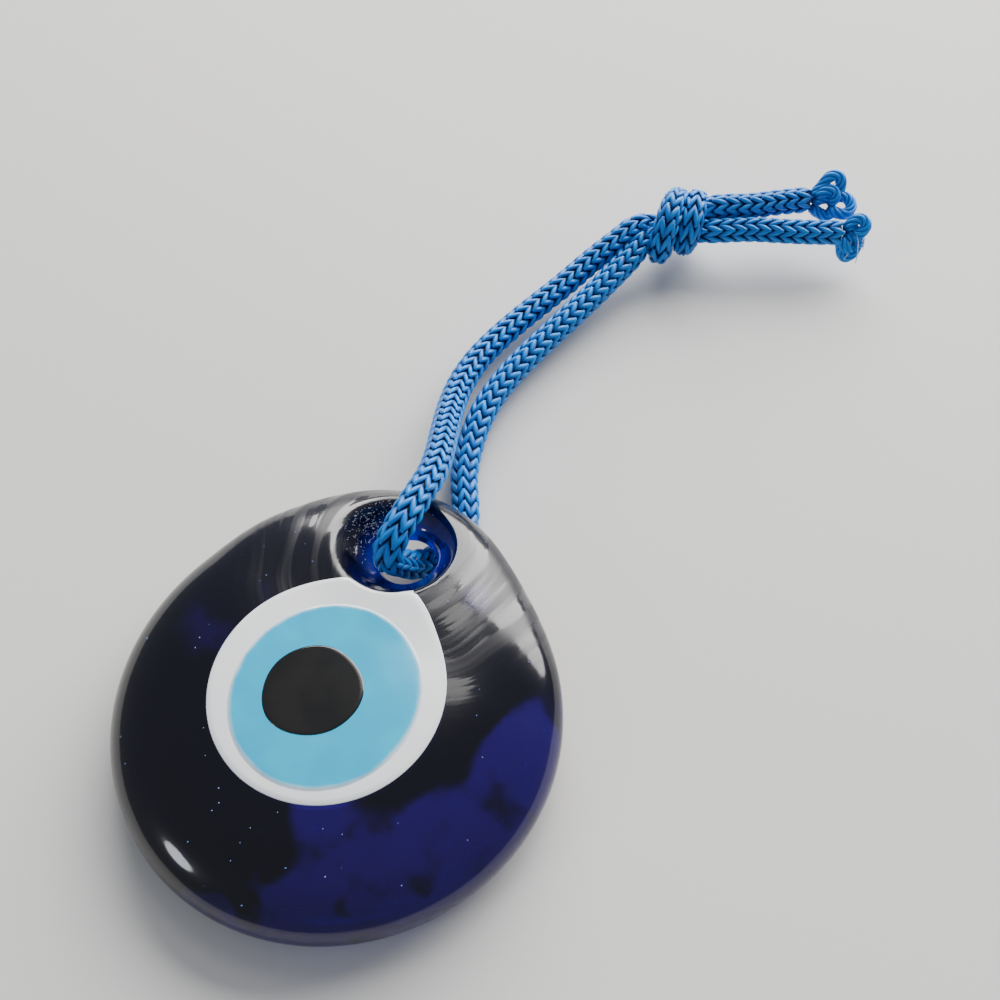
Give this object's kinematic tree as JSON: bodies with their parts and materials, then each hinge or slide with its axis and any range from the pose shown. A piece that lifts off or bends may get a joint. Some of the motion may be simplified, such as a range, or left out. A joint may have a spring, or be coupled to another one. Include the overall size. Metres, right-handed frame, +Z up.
{
  "type": "evil eye ornament",
  "caption": "Pressed cobalt glass disc with an inlaid white, turquoise and black eye, hung through a pierced crater on a knotted loop of knitted blue cord.",
  "frame": {"origin": "middle of the glass disc's box at its flat back, where it rests on a table", "axes": "+Z up out of the eye, +Y from the disc's foot towards its hole and the cord loop, +X to the right"},
  "size_m": [0.0592, 0.1419, 0.0159],
  "materials": {
    "cobalt_glass": "deep transparent cobalt, fire-polished",
    "white_glass": "opaque white glass, glossy",
    "turquoise_glass": "opaque turquoise glass, glossy",
    "black_glass": "opaque black glass, glossy",
    "knitted_cord": "shiny knitted polypropylene yarn",
    "loose_yarn": "pulled yarn, slightly fuzzy"
  },
  "bodies": {
    "glass": {"glass_body": "cobalt_glass", "eye_white": "white_glass", "iris": "turquoise_glass", "pupil": "black_glass"},
    "bight": {"cord_bight": "knitted_cord"},
    "loop": {"loop_strand_front": "knitted_cord", "loop_strand_back": "knitted_cord", "cord_knot": "knitted_cord", "tail_upper": "knitted_cord", "tail_lower": "knitted_cord", "frayed_end_upper": "loose_yarn", "frayed_end_lower": "loose_yarn"}
  },
  "joints": [
    {"name": "cord_swing", "type": "hinge", "parent": "glass", "child": "bight", "pos_m": [-0.0027, 0.0192, 0.0045], "axis": [0, 0, 1], "range_deg": [-25, 25]},
    {"name": "loop_lift", "type": "hinge", "parent": "bight", "child": "loop", "pos_m": [-0.011, 0.05, 0.0028], "axis": [1, 0, 0], "range_deg": [0, 90]}
  ]
}
